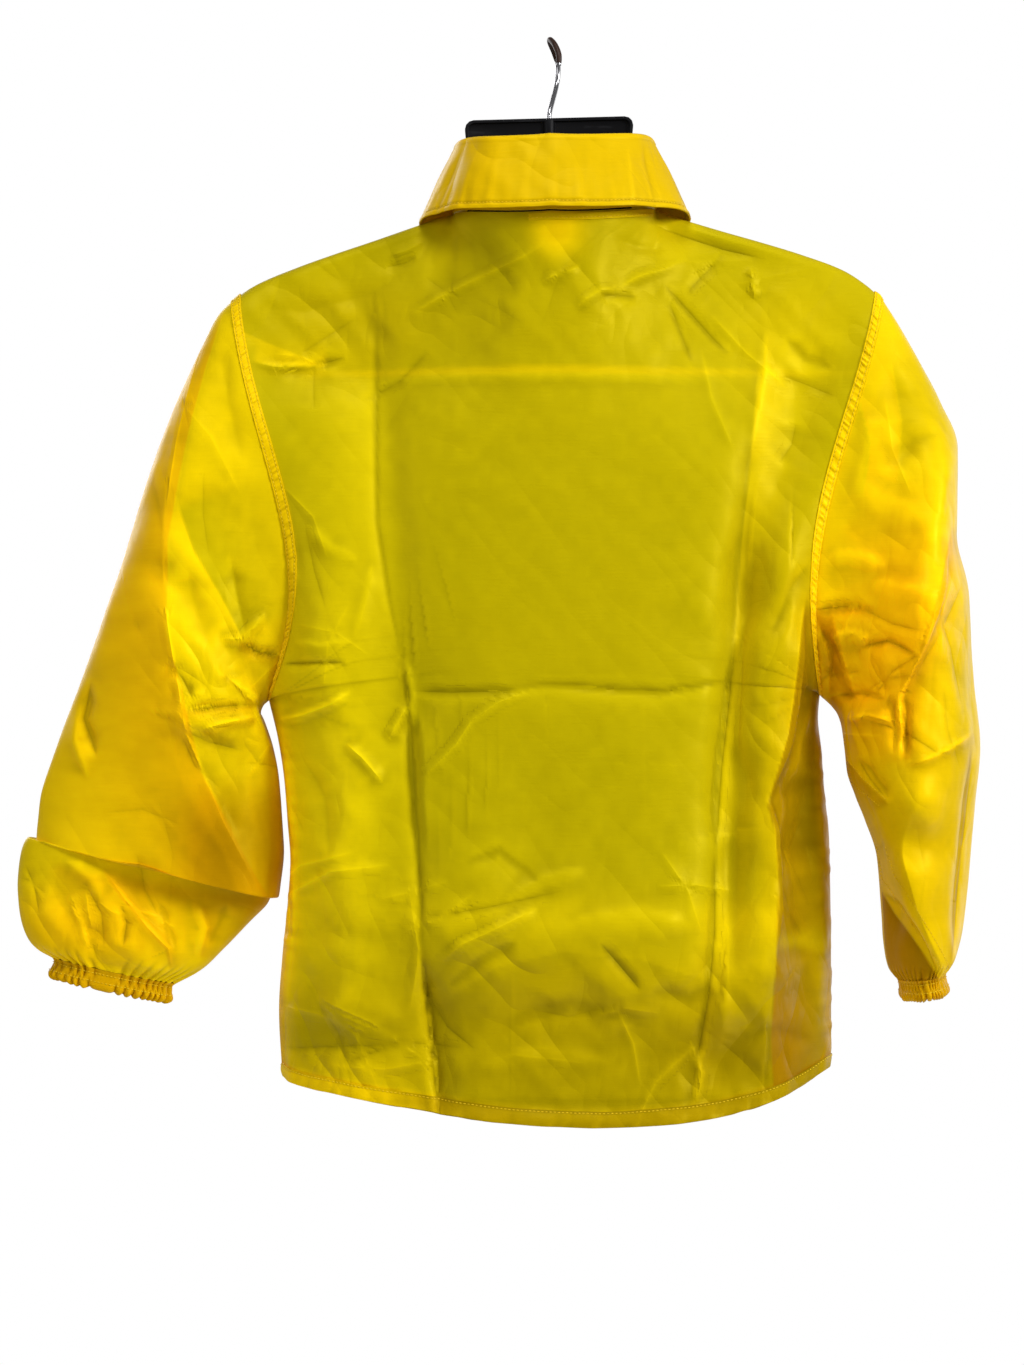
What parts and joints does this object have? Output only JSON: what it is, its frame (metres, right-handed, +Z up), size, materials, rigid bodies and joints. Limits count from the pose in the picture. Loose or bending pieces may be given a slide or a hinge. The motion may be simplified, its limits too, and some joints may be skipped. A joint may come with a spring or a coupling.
{
  "type": "windbreaker jacket on a hanger",
  "caption": "Light nylon windbreaker with a fold-over collar, gathered elastic cuffs, a curved shirt-tail hem and a snap front, hanging on a plastic hanger with a wire hook.",
  "frame": {"origin": "the underside of the hook's bend, where it rests on a rail", "axes": "+Z up, the jacket's front faces -Y and its back +Y, +X is the wearer's left, millimetres in the source and metres in the row"},
  "size_m": [0.7221, 0.1704, 0.8078],
  "materials": {
    "shell_cloth": "thin translucent nylon, slight sheen",
    "cuff_cloth": "gathered nylon over elastic",
    "label_cloth": "plain woven",
    "snap_caps": "smooth",
    "hanger_plastic": "satin moulded",
    "hook_steel": "polished wire"
  },
  "bodies": {
    "root": {"back_panel": "shell_cloth", "front_left": "shell_cloth", "front_right": "shell_cloth", "sleeve_left": "shell_cloth", "sleeve_right": "shell_cloth", "collar_stand": "shell_cloth", "collar_fall": "shell_cloth", "placket": "shell_cloth", "cuff_left": "cuff_cloth", "cuff_right": "cuff_cloth", "neck_label": "label_cloth", "snap_1": "snap_caps", "snap_2": "snap_caps", "snap_3": "snap_caps", "snap_4": "snap_caps", "snap_5": "snap_caps", "snap_6": "snap_caps", "hanger_body": "hanger_plastic", "hanger_hook": "hook_steel"}
  },
  "joints": []
}
